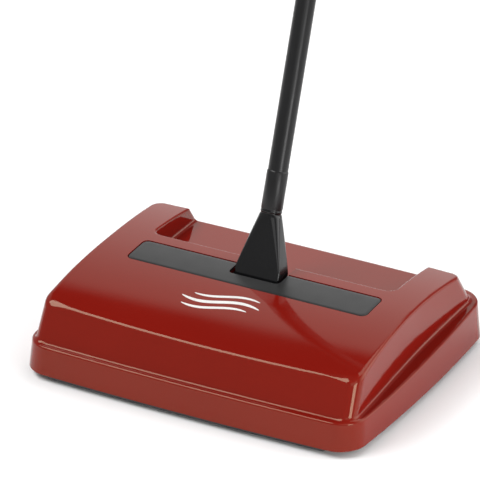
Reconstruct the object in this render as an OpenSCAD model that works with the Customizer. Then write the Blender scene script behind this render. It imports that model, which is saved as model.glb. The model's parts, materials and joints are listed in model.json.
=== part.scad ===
// Manual carpet sweeper: a low moulded body on four wheels that drive a roller brush, two drop-down
// dust pans, and a long three-piece handle on a tilting socket. Millimetres, +Z up, floor at z = 0,
// front towards -Y. The origin is on the floor under the middle of the overall box.

/* [Body] */
// Width of the body across the skirt
body_width = 300; // [240:1:360]
// Depth of the body from front to back
body_depth = 240; // [210:1:288]
// Height of the crown of the cover above the floor
crown_height = 71.6; // [71:0.1:86]
// Gap between the floor and the lower edge of the skirt
skirt_gap = 6; // [5:0.5:9]
// Height of the skirt band at the front
skirt_height = 22; // [20:0.5:26]
// How much higher the skirt band is at the rear than at the front
skirt_rise = 12; // [0:0.5:16]
// How far the skirt's front and rear faces lean in over their height
skirt_lean = 4; // [0:0.5:6]
// How far the skirt's side faces lean in over their height
side_lean = 1.2; // [0:0.1:5]
// Radius of the skirt's corners in plan
skirt_corner = 20; // [12:1:30]
// How far the long sides of the skirt bow out in plan
front_bow = 3.1; // [0:0.1:5]
// How far the short sides of the skirt bow out in plan
side_bow = 5.2; // [0:0.1:7]
// Wall of the cover
cover_wall = 2.4; // [1.8:0.1:3]

/* [Dome] */
// Width of the ledge on each side between the skirt and the dome
ledge_side = 14; // [10:0.5:18]
// Depth of the ledge in front of the dome
ledge_front = 9; // [6:0.5:12]
// Depth of the ledge behind the dome
ledge_rear = 9; // [6:0.5:16]
// How far the dome's front face leans back for each millimetre of height
front_slope = 0.415; // [0.2:0.01:0.6]
// How far the dome's rear face leans forward for each millimetre of height
rear_slope = 0.69; // [0.4:0.01:0.8]
// How far the dome's side faces lean in for each millimetre of height
side_slope = 0.02; // [0:0.005:0.12]
// How far the dome's front bows out in plan
dome_bow = 5; // [0:0.1:7]
// How far the dome's sides bow out in plan
dome_side_bow = 2; // [0:0.1:4]
// Radius of the dome's corners in plan
dome_corner = 12; // [8:1:18]
// Radius of the crown, front to back
crown_radius = 470; // [380:10:600]
// Distance of the crown's highest line behind the middle of the body
crown_offset = 18; // [0:1:24]

/* [Rear recess] */
// Width of the raised ear on each side of the lowered area behind the panel
ear_width = 29; // [22:0.5:36]
// Distance of the recess's front wall behind the middle of the body
recess_front = 25; // [22:0.5:30]
// Height of the recess floor above the floor
recess_floor = 52; // [51.5:0.5:56]
// Radius of the recess's front corners
recess_corner = 8; // [4:0.5:12]

/* [Panel] */
// How far each end of the inlaid panel stops short of the end of the recess
panel_inset = 1.5; // [0:0.5:20]
// Depth of the inlaid panel from front to back
panel_depth = 31; // [26:0.5:34]
// Distance of the panel's front edge in front of the middle of the body
panel_front = 20; // [16:0.5:22]
// Thickness of the panel
panel_thickness = 2.2; // [1.6:0.1:3]
// Corner radius of the panel
panel_corner = 5; // [2:0.5:7]
// Gap around the panel
panel_gap = 0.6; // [0.3:0.1:1]
// Half of the slot that the handle socket swings in, measured beside the socket
slot_play = 3; // [2:0.5:4]
// Distance of the slot's front edge in front of the middle of the body
slot_front = 5.5; // [5:0.5:8]

/* [Brush and wheels] */
// Radius of the roller brush over the bristle tips
brush_radius = 22; // [18:0.5:22]
// Radius of the brush core
core_radius = 8; // [6:0.5:10]
// Gap between each end of the brush core and the end plate beside it
brush_end_gap = 7; // [4:0.5:12]
// Gap between the floor and the bristle tips
brush_clearance = 0.5; // [0:0.1:1.5]
// Radius of one bristle tuft
tuft_radius = 1.8; // [1.2:0.1:2.4]
// Depth of a tuft's seat in the core
tuft_seat = 3; // [2:0.5:4]
// Number of tufts along each row
tufts_per_row = 17; // [9:1:20]
// Number of rows round the core
tuft_rows = 4; // [2:1:4]
// Turn of each row from one end of the core to the other, in degrees
row_turn = 180; // [0:10:220]
// Radius of the brush spindle
spindle_radius = 2.5; // [2:0.1:3]
// Radius of the drive discs on the spindle
disc_radius = 15; // [13:0.5:16]
// Width of a drive disc
disc_width = 9; // [6:0.5:10]
// Radius of a wheel over its tyre
wheel_radius = 22; // [18:0.5:22.5]
// Width of a wheel
wheel_width = 11; // [9:0.5:11.5]
// Thickness of a tyre
tyre_thickness = 3.6; // [2:0.1:5]
// Radius of the wheel axles
axle_radius = 2; // [1.5:0.1:2.5]

/* [Chassis] */
// Thickness of the chassis plates
plate = 3; // [2:0.1:3.6]
// Gap between the chassis and the inside of the dome's foot on each side
chassis_gap = 4.6; // [4:0.1:8]
// Width of the bay that the wheels run in
bay_width = 16; // [14:0.5:18]
// Thickness of the deck
deck_thickness = 2.6; // [2:0.1:2.8]
// Height of the chassis lip above the floor
lip_height = 3.6; // [3:0.1:4]
// Distance of the screw bosses in from the body's front and rear edges
boss_inset = 36; // [33:0.5:39]
// Shank radius of the body screws
screw_radius = 1.5; // [1.2:0.1:2]

/* [Dust pans] */
// Wall of a dust pan
pan_wall = 2; // [1.6:0.1:2.4]
// Height of a pan's underside above the floor
pan_height = 4.5; // [4.2:0.1:5]
// Height of the pan's end walls
pan_side = 18; // [12:0.5:22]
// Height of the lip beside the brush
pan_lip = 10; // [7:0.5:12]
// Radius of the pan hinge rods
rod_radius = 1.5; // [1.2:0.1:2]

/* [Handle] */
// Lean of the handle from upright, in degrees
handle_tilt = 19.2; // [0:0.1:60]
// Depth of the tilt axis below the crown
pivot_depth = 10.6; // [9.6:0.1:11]
// Distance of the tilt axis behind the middle of the body
pivot_y = 5.4; // [4:0.1:7]
// Radius of the tilt pin
pin_radius = 2.5; // [2:0.1:3]
// Width of the socket at its foot
socket_width = 39; // [32:0.5:48]
// How far the socket's neck stands out beyond the tube that it holds
socket_wall = 0.5; // [0.4:0.1:1.5]
// Distance from the tilt axis to the top of the flare
flare_length = 57; // [46:0.5:66]
// Length of the neck above the flare
neck_length = 34; // [26:0.5:40]
// Outer radius of the handle tubes
tube_radius = 8; // [6.6:0.1:9.6]
// Wall of the handle tubes
tube_wall = 0.7; // [0.5:0.1:1.2]
// Length of each tube between joints
tube_length = 300; // [200:1:360]
// Overlap of one tube in the next
tube_overlap = 36; // [24:1:45]
// Length of the grip
grip_length = 118; // [95:1:135]
// Radius of the grip
grip_radius = 12; // [11:0.5:14]
// Radius of the hole that the sweeper hangs by
hang_radius = 4.5; // [3:0.5:5]

/* [Fits] */
// Radial gap between a spinning part and its pin
running_gap = 0.08; // [0.04:0.01:0.1]
// Gap between faces that move past each other
moving_gap = 0.5; // [0.3:0.1:0.8]
// Gap between the deck and the underside of the recess
deck_gap = 0.6; // [0.3:0.1:1]
// Gap between a tyre and its drive disc
drive_gap = 0.3; // [0.3:0.05:0.5]
// Radial gap between a tube and the part that it is pushed into
push_gap = 0.05; // [0.03:0.01:0.1]

/* [Hidden] */
$fn = 48;
corner_steps = 6;
side_steps = 6;
slack = 1;

ledge = skirt_gap + skirt_height;
half_w = body_width / 2;
half_d = body_depth / 2;
dome_half = half_w - ledge_side;
dome_front = -half_d + ledge_front;
dome_rear = half_d - ledge_rear;
dome_top = crown_height + 6;
panel_rear = panel_depth - panel_front;
recess_half = dome_half - ear_width;
panel_half = recess_half - panel_inset;
socket_half = socket_width / 2;
socket_radius = tube_radius + socket_wall;
slot_half = socket_half + slot_play;

brush_height = brush_radius + brush_clearance;
drive_span = wheel_radius + disc_radius + drive_gap;
wheel_y = sqrt(drive_span * drive_span - pow(brush_height - wheel_radius, 2));
axle_end = dome_half - cover_wall - chassis_gap;
bay_outer = axle_end - plate;
bay_inner = bay_outer - bay_width;
chamber_half = bay_inner - plate;
brush_length = 2 * (chamber_half - brush_end_gap);
wheel_x = bay_inner + bay_width / 2;
bay_depth = wheel_y + wheel_radius + 3;
deck_top = recess_floor - cover_wall - deck_gap;
deck_height = deck_top - deck_thickness;

rail_out = half_d - front_bow - skirt_lean - cover_wall - moving_gap;
rail_in = rail_out - plate;
rail_top = ledge - cover_wall - 1.6;
lip_inset = 1.2;
lip_top = skirt_gap - 0.2;
rail_half = dome_half - 15;

rod_y = rail_in - 5;
rod_z = pan_height + 4;
pan_half = chamber_half - 3;
pan_out = rod_y - 3;
pan_in = brush_radius + 3.5;

boss_x = wheel_x;
boss_y = half_d - boss_inset;
boss_radius = 4;
boss_foot = 13.2;
pad_top = boss_foot - 0.2;
pad_bottom = pad_top - plate;
screw_head = 3;
head_height = 1.6;
bracket_top = deck_top + 2;

pivot_height = crown_height - pivot_depth;
ear_in = socket_half + moving_gap;
ear_out = ear_in + 3.5;
bracket_half = ear_out + 9.5;
neck_top = flare_length + neck_length;
tube_start = flare_length + 4;
joint_1 = neck_top + tube_length;
joint_2 = joint_1 + tube_length;
grip_start = joint_2 + tube_length - 20;
grip_end = grip_start + grip_length - grip_radius;
bore_radius = tube_radius - tube_wall;
spigot_radius = bore_radius - push_gap;
button_s = neck_top - 14;
button_radius = 2.6;

overall_rear = pivot_y + grip_end * sin(handle_tilt) + grip_radius;
origin_shift = -(overall_rear - half_d) / 2;

function arc(cx, cy, r, a) =
    [for (i = [0:corner_steps]) let (t = a + 90 * i / corner_steps) [cx + r * cos(t), cy + r * sin(t)]];
function between(p, q) = [for (i = [1:side_steps - 1]) p + (q - p) * i / side_steps];
// Rounded rectangle from y0 to y1, with each side bowed out: the ends of the sides are drawn in.
function plan(hx, y0, y1, r, bow_x = 0, bow_y = 0, bow_rear = -1) =
    let (hy = (y1 - y0) / 2, yc = (y0 + y1) / 2, a = hx - r, b = hy - r,
        ring = concat(arc(a, b, r, 0), between([a, hy], [-a, hy]), arc(-a, b, r, 90),
            between([-hx, b], [-hx, -b]), arc(-a, -b, r, 180), between([-a, -hy], [a, -hy]),
            arc(a, -b, r, 270), between([hx, -b], [hx, b])))
    [for (p = ring) [p.x * (1 - bow_x / hx * pow(p.y / hy, 2)),
        yc + p.y * (1 - (p.y > 0 && bow_rear >= 0 ? bow_rear : bow_y) / hy * pow(p.x / hx, 2))]];

// A solid through rings of equal length, each given as [height at the front, points, rise to the rear].
module loft(rings) {
    n = len(rings[0][1]);
    top = (len(rings) - 1) * n;
    polyhedron(
        points = [for (g = rings, p = g[1]) [p.x, p.y, g[0] + g[2] * (p.y + half_d) / body_depth]],
        faces = concat(
            [[for (i = [0:n - 1]) i]],
            [[for (i = [n - 1:-1:0]) top + i]],
            [for (k = [0:len(rings) - 2], i = [0:n - 1], h = [0, 1]) let (j = (i + 1) % n, b = k * n)
                h == 0 ? [b + i, b + n + i, b + n + j] : [b + i, b + n + j, b + j]]),
        convexity = 6);
}

module slab(x0, x1, y0, y1, z0, z1) translate([x0, y0, z0]) cube([x1 - x0, y1 - y0, z1 - z0]);
module rod_x(r, x0, x1, y, z, sides = 48) translate([x0, y, z]) rotate([0, 90, 0])
    cylinder(r = r, h = x1 - x0, $fn = sides);
module both_x() { children(); mirror([1, 0, 0]) children(); }
module both_y() { children(); mirror([0, 1, 0]) children(); }
module place() translate([0, origin_shift, 0]) children();
module on_handle() place() translate([0, pivot_y, pivot_height]) rotate([-handle_tilt, 0, 0]) children();
module bracket_places() both_x() for (y = [-4, 15]) translate([bracket_half - 5, y, 0]) children();
module bracket_holes() bracket_places() translate([0, 0, deck_height - slack])
    cylinder(r = screw_radius, h = bracket_top - deck_height + 2 * slack, $fn = 24);
module boss_places() for (x = [-boss_x, boss_x], y = [-boss_y, boss_y]) translate([x, y, 0]) children();

module crown(inset) rod_x(crown_radius - inset, -half_w, half_w, crown_offset,
    crown_height - crown_radius, 360);

function skirt_ring(inset, share, round) = let (end = half_d - inset - skirt_lean * share - round)
    plan(half_w - inset - side_lean * share - round, -end, end, skirt_corner - inset, side_bow, front_bow);
module skirt_block(inset, top) loft([
    [skirt_gap - (inset > 0 ? slack : 0), skirt_ring(inset, 0, 0), 0],
    [top - 1.5, skirt_ring(inset, 1, 0), skirt_rise],
    [top, skirt_ring(inset, 1, 1.2), skirt_rise]]);

function dome_ring(z, inset) = let (h = z - ledge) plan(dome_half - side_slope * h - inset,
    dome_front + front_slope * h + inset, dome_rear - rear_slope * h - inset * 1.2,
    dome_corner - inset, dome_side_bow, dome_bow, 0);
module dome_block(inset, bottom) intersection() {
    loft([[bottom, dome_ring(bottom, inset), 0], [dome_top, dome_ring(dome_top, inset), 0]]);
    crown(inset);
}

// The recess with its walls moved out by grow; it runs out past the rear of the body.
module recess_block(grow) translate([0, 0, recess_floor - grow]) linear_extrude(40)
    polygon(plan(recess_half + grow, recess_front - grow, half_d + 40, recess_corner + grow));

module panel_plan(grow) polygon(plan(panel_half + grow, -panel_front - grow, panel_rear + grow,
    panel_corner + grow));
module panel_seat() difference() {
    translate([0, 0, ledge]) linear_extrude(60) panel_plan(panel_gap);
    crown(panel_thickness + 0.3);
}
module panel_bed() difference() {
    translate([0, 0, ledge]) linear_extrude(60) panel_plan(panel_gap + cover_wall);
    crown(panel_thickness + 0.3 + cover_wall);
}
module handle_slot(rear) translate([0, 0, recess_floor + 1]) linear_extrude(40)
    polygon(plan(slot_half, -slot_front, rear, 4));

module cover() color("firebrick") place() difference() {
    union() {
        difference() {
            union() { skirt_block(0, ledge); dome_block(0, ledge - slack); }
            recess_block(0);
            panel_seat();
            difference() {
                union() {
                    skirt_block(cover_wall, ledge - cover_wall);
                    dome_block(cover_wall, skirt_gap + 4);
                }
                recess_block(cover_wall);
                panel_bed();
            }
        }
        intersection() {
            boss_places() translate([0, 0, boss_foot]) cylinder(r = boss_radius, h = 60, $fn = 32);
            dome_block(cover_wall / 2, skirt_gap + 5);
        }
    }
    handle_slot(recess_front + 12);
    boss_places() translate([0, 0, boss_foot - slack]) cylinder(r = screw_radius, h = 16, $fn = 24);
}

module handle_panel() color("dimgray") place() difference() {
    intersection() {
        translate([0, 0, ledge]) linear_extrude(60) panel_plan(0);
        crown(0.3);
    }
    crown(panel_thickness + 0.3);
    handle_slot(recess_front);
}

module end_plate(x) difference() {
    union() {
        slab(x, x + plate, -bay_depth, bay_depth, pan_height, deck_top);
        if (x < bay_inner) slab(x, x + plate, -rail_out, rail_out, pan_height, rail_top);
    }
    rod_x(spindle_radius + running_gap, x - slack, x + plate + slack, 0, brush_height);
    both_y() rod_x(axle_radius, x - slack, x + plate + slack, wheel_y, wheel_radius);
    both_y() rod_x(rod_radius, x - slack, x + plate + slack, rod_y, rod_z, 32);
}

module chassis() color("#202022") place() difference() {
    union() {
        both_x() { end_plate(chamber_half); end_plate(bay_outer); }
        slab(-axle_end, axle_end, -bay_depth, bay_depth, deck_height, deck_top);
        both_y() {
            slab(-rail_half, rail_half, rail_in, rail_out, lip_height, rail_top);
            intersection() {
                slab(-rail_half, rail_half, rail_in, half_d, lip_height, lip_top);
                linear_extrude(skirt_gap) polygon(plan(half_w - lip_inset, -half_d + lip_inset,
                    half_d - lip_inset, skirt_corner, side_bow, front_bow));
            }
        }
        both_x() both_y() slab(chamber_half + 1, boss_x + 6, boss_y - 6, boss_y + 6, pad_bottom, pad_top);
    }
    boss_places() translate([0, 0, pad_bottom - slack])
        cylinder(r = screw_radius + 0.2, h = plate + 2 * slack, $fn = 24);
    boss_places() translate([0, 0, pad_top]) cylinder(r = boss_radius + moving_gap, h = 60, $fn = 32);
    bracket_holes();
}

// A pan-head screw with a cross recess, its head below z = 0 and its shank above.
module screw(length) difference() {
    union() {
        translate([0, 0, -head_height]) cylinder(r = screw_head, h = head_height, $fn = 32);
        cylinder(r = screw_radius, h = length, $fn = 24);
    }
    for (a = [0, 90]) rotate([0, 0, a]) translate([-1.6, -0.4, -head_height - slack])
        cube([3.2, 0.8, slack + 0.8]);
}
module body_screws() color("silver") place() boss_places() translate([0, 0, pad_bottom]) screw(15);

comb_y = brush_radius + 1.5;
comb_z = deck_height - 8;
comb_pitch = 8;
comb_side = floor((pan_half - 8) / comb_pitch);
module bristle_comb() color("#303032") place() translate([0, -comb_y, 0]) {
    slab(-pan_half + 4, pan_half - 4, -2, 0, comb_z, deck_height);
    for (i = [-comb_side:comb_side])
        slab(i * comb_pitch - 1, i * comb_pitch + 1, -1, 3.2, comb_z, comb_z + 2);
}

// One pan behind the brush, open on top; its outer edge turns on the hinge rod.
module dust_pan() difference() {
    union() {
        slab(-pan_half, pan_half, pan_in, rod_y, pan_height, pan_height + pan_wall);
        slab(-pan_half, pan_half, pan_out - pan_wall, pan_out, pan_height, pan_height + 9);
        slab(-pan_half, pan_half, pan_in, pan_in + pan_wall, pan_height, pan_height + pan_lip);
        both_x() slab(pan_half - pan_wall, pan_half, pan_in, pan_out, pan_height, pan_height + pan_side);
        rod_x(3.4, -pan_half, pan_half, rod_y, rod_z);
        for (x = [-pan_half / 2, 0, pan_half / 2])
            slab(x - 0.8, x + 0.8, pan_in, pan_out, pan_height, pan_height + 4);
    }
    rod_x(rod_radius + running_gap, -pan_half - slack, pan_half + slack, rod_y, rod_z, 32);
    slab(-22, 22, pan_in + 10, pan_in + 20, pan_height - slack, pan_height + 0.8);
}
module rear_dust_pan() color("#2b2b2e") place() dust_pan();
module front_dust_pan() color("#2b2b2e") place() mirror([0, 1, 0]) dust_pan();
module pan_rod(y) rod_x(rod_radius, -chamber_half - plate, chamber_half + plate, y, rod_z, 32);
module rear_pan_rod() color("silver") place() pan_rod(rod_y);
module front_pan_rod() color("silver") place() pan_rod(-rod_y);

module tufts(r, from, to) for (k = [0:tuft_rows - 1], i = [0:tufts_per_row - 1])
    let (f = i / (tufts_per_row - 1))
    translate([(f - 0.5) * (brush_length - 12), 0, brush_height])
        rotate([k * 360 / tuft_rows + row_turn * abs(f - 0.5) + 20, 0, 0])
            translate([0, 0, from]) cylinder(r = r, h = to - from, $fn = 16);
module brush_core() color("burlywood") place() difference() {
    rod_x(core_radius, -brush_length / 2, brush_length / 2, 0, brush_height);
    rod_x(spindle_radius, -brush_length, brush_length, 0, brush_height);
    tufts(tuft_radius, core_radius - tuft_seat, core_radius + 2);
}
module brush_bristles() color("#1b1b1d") place()
    tufts(tuft_radius, core_radius - tuft_seat, brush_radius);
module brush_spindle() color("silver") place()
    rod_x(spindle_radius, -axle_end, axle_end, 0, brush_height);
module drive_disc(side) rod_x(disc_radius, side * wheel_x - disc_width / 2, side * wheel_x + disc_width / 2,
    0, brush_height, 72);
module drive_disc_left() color("#3a3a3c") place() difference() {
    drive_disc(-1);
    rod_x(spindle_radius, -axle_end, 0, 0, brush_height);
}
module drive_disc_right() color("#3a3a3c") place() difference() {
    drive_disc(1);
    rod_x(spindle_radius, 0, axle_end, 0, brush_height);
}

module wheel_axles() color("silver") place() both_x() both_y()
    rod_x(axle_radius, chamber_half, axle_end, wheel_y, wheel_radius);

module wheel_hub(sx, sy) place() translate([sx * wheel_x, sy * wheel_y, wheel_radius])
    rotate([0, 90, 0]) difference() {
        union() {
            cylinder(r = 5, h = wheel_width, center = true, $fn = 36);
            cylinder(r = wheel_radius - tyre_thickness, h = wheel_width - 2, center = true, $fn = 72);
        }
        for (s = [-1, 1]) translate([0, 0, s * 5.5]) difference() {
            cylinder(r = wheel_radius - tyre_thickness - 2.6, h = 6, center = true, $fn = 64);
            cylinder(r = 5, h = 7, center = true, $fn = 36);
        }
        cylinder(r = axle_radius + running_gap, h = wheel_width + 2, center = true, $fn = 36);
        for (a = [0:60:300]) rotate([0, 0, a]) translate([10, 0, 0])
            cylinder(r = 2.6, h = wheel_width, center = true, $fn = 24);
    }
module tyre(sx, sy) place() translate([sx * wheel_x, sy * wheel_y, wheel_radius]) rotate([0, 90, 0])
    difference() {
        cylinder(r = wheel_radius, h = wheel_width - 2, center = true, $fn = 96);
        cylinder(r = wheel_radius - tyre_thickness, h = wheel_width, center = true, $fn = 72);
    }
module wheel_hub_front_left() color("#48484a") wheel_hub(-1, -1);
module wheel_hub_front_right() color("#48484a") wheel_hub(1, -1);
module wheel_hub_rear_left() color("#48484a") wheel_hub(-1, 1);
module wheel_hub_rear_right() color("#48484a") wheel_hub(1, 1);
module tyre_front_left() color("#161617") tyre(-1, -1);
module tyre_front_right() color("#161617") tyre(1, -1);
module tyre_rear_left() color("#161617") tyre(-1, 1);
module tyre_rear_right() color("#161617") tyre(1, 1);

module pivot_bracket() color("#242426") place() difference() {
    union() {
        slab(-bracket_half, bracket_half, -9, 20, deck_top, bracket_top);
        both_x() {
            slab(ear_in, ear_out, pivot_y - 5, pivot_y + 5, deck_top, pivot_height);
            rod_x(5, ear_in, ear_out, pivot_y, pivot_height);
        }
    }
    rod_x(pin_radius, -ear_out - slack, ear_out + slack, pivot_y, pivot_height);
    rod_x(socket_radius + 2 * moving_gap, -ear_in, ear_in, pivot_y, pivot_height);
    bracket_holes();
}
module bracket_screws() color("silver") place() bracket_places() translate([0, 0, bracket_top])
    mirror([0, 0, 1]) screw(bracket_top - deck_height - 0.2);
module pivot_pin() color("silver") place()
    rod_x(pin_radius, -ear_out - 0.5, ear_out + 0.5, pivot_y, pivot_height);

module handle_socket() color("#141416") on_handle() difference() {
    union() {
        hull() {
            rod_x(socket_radius, -socket_half, socket_half, 0, 0, 32);
            for (x = [-1, 1], y = [-1, 1]) translate([x * (socket_half - 1.5), y * (socket_radius - 1.5), 10])
                cylinder(r = 1.5, h = 2, $fn = 16);
            translate([0, 0, flare_length - 2]) cylinder(r = socket_radius, h = 2, $fn = 32);
        }
        translate([0, 0, flare_length - 3]) cylinder(r = socket_radius, h = neck_length + 3);
    }
    translate([0, 0, tube_start]) cylinder(r = tube_radius + push_gap, h = neck_length + 10);
    rod_x(pin_radius + running_gap, -socket_width, socket_width, 0, 0);
    translate([0, 0, button_s]) rotate([-90, 0, 0]) cylinder(r = button_radius + 0.3, h = 20, $fn = 32);
}

module tube_shell(from, to) difference() {
    translate([0, 0, from]) cylinder(r = tube_radius, h = to - from);
    translate([0, 0, from - slack]) cylinder(r = bore_radius, h = to - from + 2 * slack);
}
module spigot(from, to) difference() {
    translate([0, 0, from]) cylinder(r = spigot_radius, h = to - from);
    translate([0, 0, from - slack]) cylinder(r = spigot_radius - tube_wall, h = to - from + 2 * slack);
}
module collar(at) difference() {
    translate([0, 0, at]) cylinder(r = tube_radius, h = 2);
    translate([0, 0, at - slack]) cylinder(r = spigot_radius - tube_wall, h = 2 + 2 * slack);
}
module lower_tube() color("#1c1c1e") on_handle() difference() {
    tube_shell(tube_start, joint_1);
    translate([0, 0, button_s]) rotate([-90, 0, 0]) cylinder(r = button_radius + 0.3, h = 20, $fn = 32);
}
module middle_tube() color("#1c1c1e") on_handle() {
    tube_shell(joint_1 + 2, joint_2);
    collar(joint_1 + push_gap);
    spigot(joint_1 - tube_overlap, joint_1 + 1);
}
module upper_tube() color("#1c1c1e") on_handle() {
    tube_shell(joint_2 + 2, grip_start + grip_length - 45);
    collar(joint_2 + push_gap);
    spigot(joint_2 - tube_overlap, joint_2 + 1);
}

// A flat strip of the given thickness along a path in the Y-Z plane, centred on x = 0.
function turn(path, i) = let (a = path[max(i - 1, 0)], b = path[min(i + 1, len(path) - 1)],
    d = b - a) [-d[1], d[0]] / norm(d);
module strip(path, thickness, width) {
    last = len(path) - 1;
    translate([-width / 2, 0, 0]) rotate([90, 0, 90]) linear_extrude(width) polygon(concat(
        [for (i = [0:last]) path[i] + turn(path, i) * thickness / 2],
        [for (i = [last:-1:0]) path[i] - turn(path, i) * thickness / 2]));
}

// The button is pressed in towards the front; a folded leaf spring inside the tube pushes it back out.
module lock_button() color("#38383a") on_handle() translate([0, 0, button_s]) rotate([-90, 0, 0]) {
    translate([0, 0, 2.5]) cylinder(r = button_radius, h = socket_radius - 2.5 + 1.8, $fn = 32);
    translate([0, 0, 2.5]) cylinder(r = button_radius + 1.2, h = 1.2, $fn = 32);
}
module button_spring() color("silver") on_handle() translate([0, 0, button_s])
    let (back = 1 - bore_radius) strip([[back, 9], [back, -11], [back + 0.7, -13.4], [back + 2.3, -14.4],
        [back + 3.9, -13.6], [back + 4.6, -11.5], [2.1, 3.4]], 0.5, 4.4);

module grip() color("#18181a") on_handle() difference() {
    union() {
        translate([0, 0, grip_start]) cylinder(r1 = tube_radius + 1.6, r2 = grip_radius - 1, h = 14);
        translate([0, 0, grip_start + 14]) cylinder(r = grip_radius - 1, h = grip_end - grip_start - 44);
        translate([0, 0, grip_end - 30]) cylinder(r1 = grip_radius - 1, r2 = grip_radius, h = 14);
        translate([0, 0, grip_end - 16]) cylinder(r = grip_radius, h = 16);
        translate([0, 0, grip_end]) sphere(r = grip_radius);
        for (s = [24:9:60]) translate([0, 0, grip_start + s]) cylinder(r = grip_radius - 0.3, h = 4);
    }
    translate([0, 0, grip_start - slack]) cylinder(r = tube_radius + push_gap, h = grip_length - 44 + slack);
    translate([0, -grip_radius - slack, grip_end - 6]) rotate([-90, 0, 0])
        cylinder(r = hang_radius, h = 2 * grip_radius + 2 * slack, $fn = 48);
}

cover();
handle_panel();
chassis();
body_screws();
bristle_comb();
front_dust_pan();
front_pan_rod();
rear_dust_pan();
rear_pan_rod();
brush_core();
brush_bristles();
brush_spindle();
drive_disc_left();
drive_disc_right();
wheel_axles();
wheel_hub_front_left();
wheel_hub_front_right();
wheel_hub_rear_left();
wheel_hub_rear_right();
tyre_front_left();
tyre_front_right();
tyre_rear_left();
tyre_rear_right();
pivot_bracket();
bracket_screws();
pivot_pin();
handle_socket();
lock_button();
button_spring();
lower_tube();
middle_tube();
upper_tube();
grip();
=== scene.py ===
import bpy
import bmesh
import json
import math
import numpy as np
from mathutils import Matrix, Vector


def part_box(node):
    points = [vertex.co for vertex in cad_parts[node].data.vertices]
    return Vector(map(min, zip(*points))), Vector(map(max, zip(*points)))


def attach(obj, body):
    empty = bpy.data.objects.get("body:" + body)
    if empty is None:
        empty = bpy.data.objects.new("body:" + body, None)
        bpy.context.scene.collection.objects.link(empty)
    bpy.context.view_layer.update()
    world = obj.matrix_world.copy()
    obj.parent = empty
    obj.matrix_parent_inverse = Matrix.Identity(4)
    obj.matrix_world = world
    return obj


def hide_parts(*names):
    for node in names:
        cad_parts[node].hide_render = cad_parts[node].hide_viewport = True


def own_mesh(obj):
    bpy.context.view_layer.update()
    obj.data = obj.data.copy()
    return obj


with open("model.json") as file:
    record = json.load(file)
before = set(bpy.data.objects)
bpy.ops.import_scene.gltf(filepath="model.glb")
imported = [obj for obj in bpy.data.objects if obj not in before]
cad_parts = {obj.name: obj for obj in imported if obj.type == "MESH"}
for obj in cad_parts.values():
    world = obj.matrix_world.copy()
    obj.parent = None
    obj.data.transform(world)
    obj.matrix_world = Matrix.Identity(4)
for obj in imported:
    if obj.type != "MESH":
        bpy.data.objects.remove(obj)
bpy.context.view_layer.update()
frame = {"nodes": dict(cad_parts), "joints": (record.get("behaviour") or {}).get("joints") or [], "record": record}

# ---------------------------------------------------------------- sizes, in millimetres
# The body's own frame has its origin on the floor under the middle of the cover.
cover_low, cover_high = (np.array(c) * 1000 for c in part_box("cover"))
SHIFT = (cover_low[1] + cover_high[1]) / 2
HALF_W = (cover_high[0] - cover_low[0]) / 2
HALF_D = (cover_high[1] - cover_low[1]) / 2
SKIRT_BOTTOM = cover_low[2]
CROWN_TOP = cover_high[2]
LEDGE = 29.0
SKIRT_LEAN, SIDE_LEAN = 4.0, 1.2
SKIRT_CORNER = 20.0
BOW_FRONT, BOW_SIDE = 3.1, 5.2
DOME_HALF, DOME_FRONT, DOME_REAR = 136.4, -111.0, 112.5
SLOPE_FRONT, SLOPE_REAR, SLOPE_SIDE = 0.415, 0.69, 0.02
CROWN_R, CROWN_Y = 470.0, 18.0
RECESS_HALF, RECESS_FRONT, RECESS_FLOOR = 107.0, 25.0, 52.0
WALL = 2.4
PANEL_HALF, PANEL_FRONT, PANEL_REAR = 105.5, -20.0, 11.0
PANEL_MID, PANEL_HALF_D = (PANEL_FRONT + PANEL_REAR) / 2, (PANEL_REAR - PANEL_FRONT) / 2
SLOT_HALF, SLOT_FRONT = 22.5, -5.5
BOSS_X, BOSS_Y, BOSS_R, BOSS_FOOT = 118.0, 84.0, 4.0, 13.2
# The ledge dips a little, then climbs at a slope from LEDGE_BEND_Y, over a bend of LEDGE_BEND.
LEDGE_DIP, LEDGE_CLIMB, LEDGE_BEND_Y, LEDGE_BEND = 0.7, 0.028, -75.0, 20.0
# The dome's walls bow across the body, and its ends flare away from its waist.
WALL_ROOT = -3.0
FRONT_BOW, FRONT_BOW_RISE, REAR_BOW = 2.6, 0.07, 1.5
WAIST_Y, FLARE_POWER = 15.0, 1.5
FRONT_FLARE, FRONT_FLARE_RUN, REAR_FLARE, REAR_FLARE_RUN = 4.1, 115.0, 2.2, 80.0
# Radii where the cover's surfaces meet.
FRONT_CORNER, REAR_CORNER = 10.0, 9.0
SKIRT_EDGE, CROWN_EDGE, VALLEY, RECESS_CORNER, RECESS_FILLET, RECESS_EDGE = 1.7, 1.5, 1.4, 8.0, 2.4, 1.8
HOLLOW_FILLET = 0.6
SKIRT_SHARE = 0.985        # evens the leaning skirt's distance out
BED_MARGIN, BED_DEPTH = 3.0, 5.2
SEAT_GAP, SEAT_DEPTH, SEAT_CORNER = 0.7, 2.7, 5.5
SLOT_CORNER, SLOT_RUN = 4.0, 12.0
ABOVE_ALL = 90.0
OUTSIDE_GRID, HOLLOW_GRID = (1.7, 1.4, 1.1), (3.3, 3.1, 2.3)

joints = {j["name"]: j for j in frame["joints"]}
TILT = math.radians(19.2)
PIVOT = np.array(joints["handle_tilt"]["pos_m"]) * 1000 - [0, SHIFT, 0]
BRUSH = np.array(joints["brush_spin"]["pos_m"]) * 1000 - [0, SHIFT, 0]


def to_row(points):
    """Body-frame millimetres to row-frame metres."""
    return (np.asarray(points, float) + [0, SHIFT, 0]) / 1000


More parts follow.
